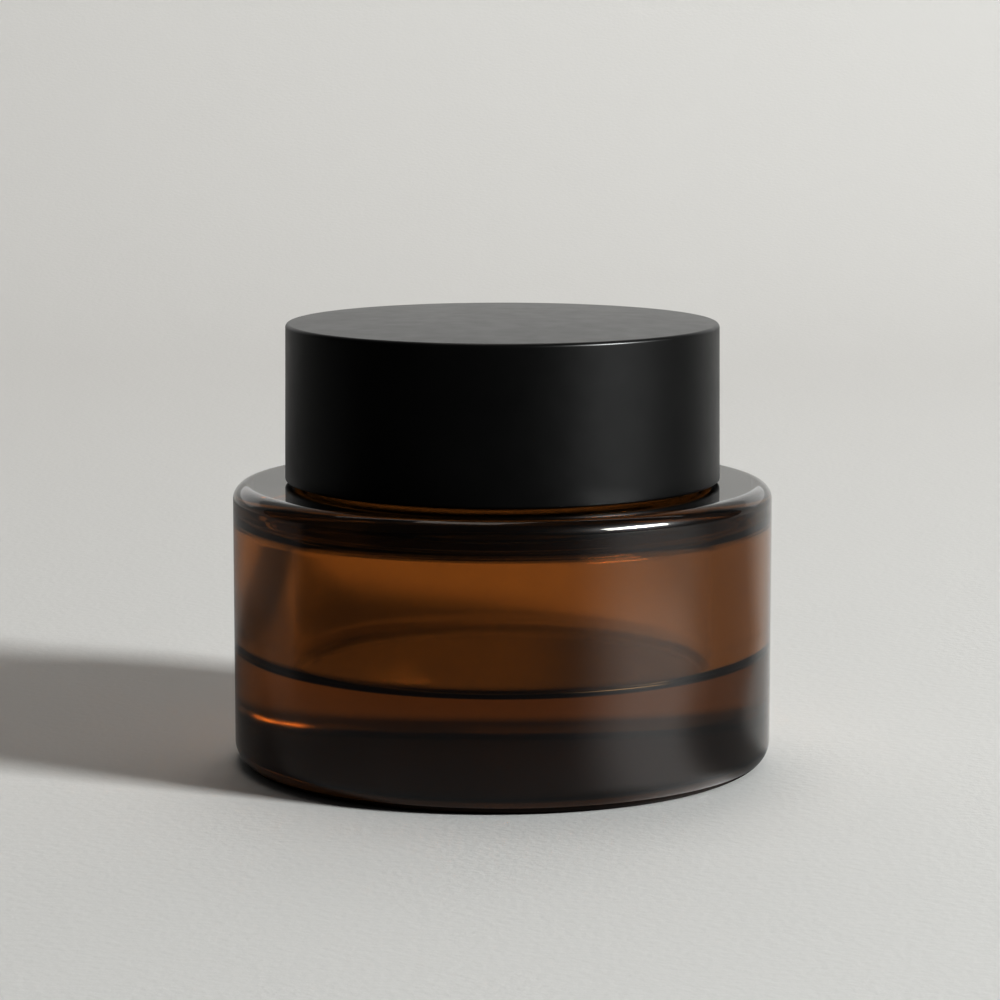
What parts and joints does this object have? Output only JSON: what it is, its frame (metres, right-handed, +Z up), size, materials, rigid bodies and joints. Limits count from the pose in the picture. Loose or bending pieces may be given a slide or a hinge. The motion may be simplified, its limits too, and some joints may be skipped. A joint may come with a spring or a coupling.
{
  "type": "cosmetic cream jar",
  "caption": "Low round thick-walled amber glass cream jar with a flat shoulder, threaded neck, loose sealing disc and a black lined screw lid.",
  "frame": {"origin": "middle of the jar's base, on the surface it stands on", "axes": "+Z up along the axis of the jar, the neck, the thread and the lid; -Y towards the viewer"},
  "size_m": [0.062, 0.062, 0.0516],
  "materials": {
    "amber_glass": "polished, amber tinted",
    "disc_plastic": "satin",
    "liner_foam": "soft matt foam",
    "insert_plastic": "satin",
    "lid_black": "satin"
  },
  "bodies": {
    "jar": {"glass_jar": "amber_glass"},
    "liner": {"lid_liner": "liner_foam"},
    "lid": {"lid_insert": "insert_plastic", "lid_shell": "lid_black"},
    "disc": {"sealing_disc": "disc_plastic"}
  },
  "joints": [
    {"name": "lid_rise", "type": "slide", "parent": "jar", "child": "liner", "axis": [0, 0, 1], "range_m": [0, 0.02541]},
    {"name": "lid_turn", "type": "hinge", "parent": "liner", "child": "lid", "pos_m": [0, 0, 0.042], "axis": [0, 0, 1], "range_deg": [0, 2160]},
    {"name": "disc_lift", "type": "slide", "parent": "jar", "child": "disc", "axis": [0, 0, 1], "range_m": [0, 0.01271]}
  ],
  "couplings": [
    {"joint": "lid_rise", "follows": "lid_turn", "m_per_rad": 0.00067376},
    {"joint": "disc_lift", "follows": "lid_turn", "m_per_rad": 0.00033688}
  ]
}
